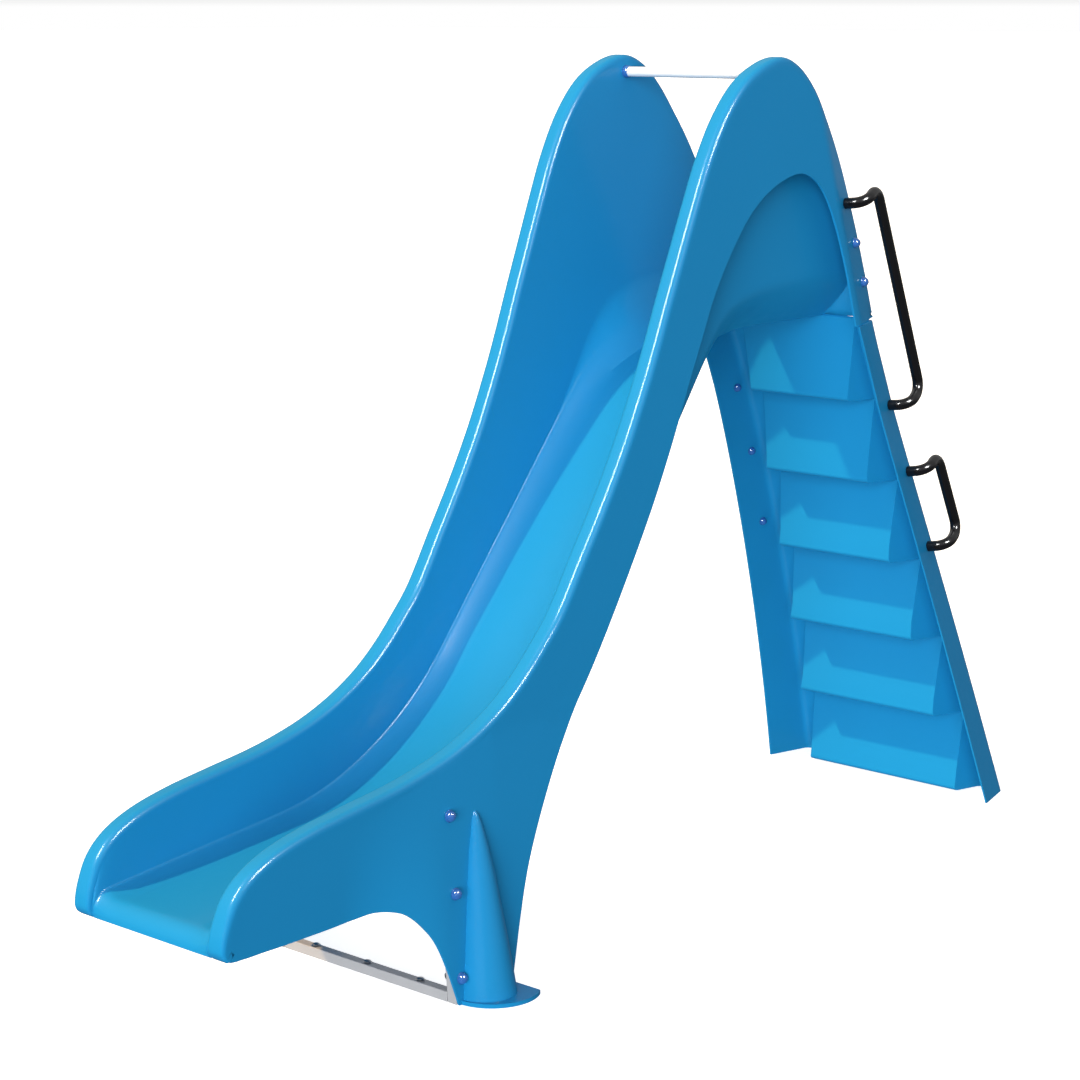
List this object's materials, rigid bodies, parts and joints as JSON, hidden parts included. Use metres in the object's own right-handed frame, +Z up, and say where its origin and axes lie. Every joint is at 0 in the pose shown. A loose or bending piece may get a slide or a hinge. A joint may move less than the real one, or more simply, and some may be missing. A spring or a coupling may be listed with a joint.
{
  "type": "pool_slide",
  "caption": "Blue moulded pool slide with a curved open chute, flared side feet, a closed-back moulded ladder, black handrails and a white cross bar at the hump.",
  "frame": {"origin": "ground level under the centre of the slide's plan outline", "axes": "+X to the slide's right-hand skin seen from the water end, +Y from the water end to the ladder, +Z up"},
  "size_m": [0.826, 2.944, 2.116],
  "materials": {
    "gel_coat": "glossy blue gel coat on glass-fibre moulding",
    "rail_black": "glossy black coated tube",
    "bar_white": "glossy white coated bar",
    "nut_caps": "glossy blue dome caps",
    "frame_metal": "light grey coated square section",
    "fixings": "plain stainless steel"
  },
  "bodies": {
    "root": {"flume": "gel_coat", "side_skin_right": "gel_coat", "side_skin_left": "gel_coat", "ladder": "gel_coat", "top_bar": "bar_white", "top_bar_collars": "nut_caps", "handrail_upper_right": "rail_black", "handrail_upper_left": "rail_black", "handrail_lower_right": "rail_black", "handrail_lower_left": "rail_black", "handrail_bolts": "fixings", "handrail_caps": "nut_caps", "joint_bolts": "fixings", "joint_washers": "fixings", "joint_dome_nuts": "nut_caps", "foot_frame": "frame_metal", "foot_bolts": "fixings", "foot_washers": "fixings", "foot_dome_nuts": "nut_caps", "floor_bolts": "fixings", "floor_washers": "fixings"}
  },
  "joints": []
}
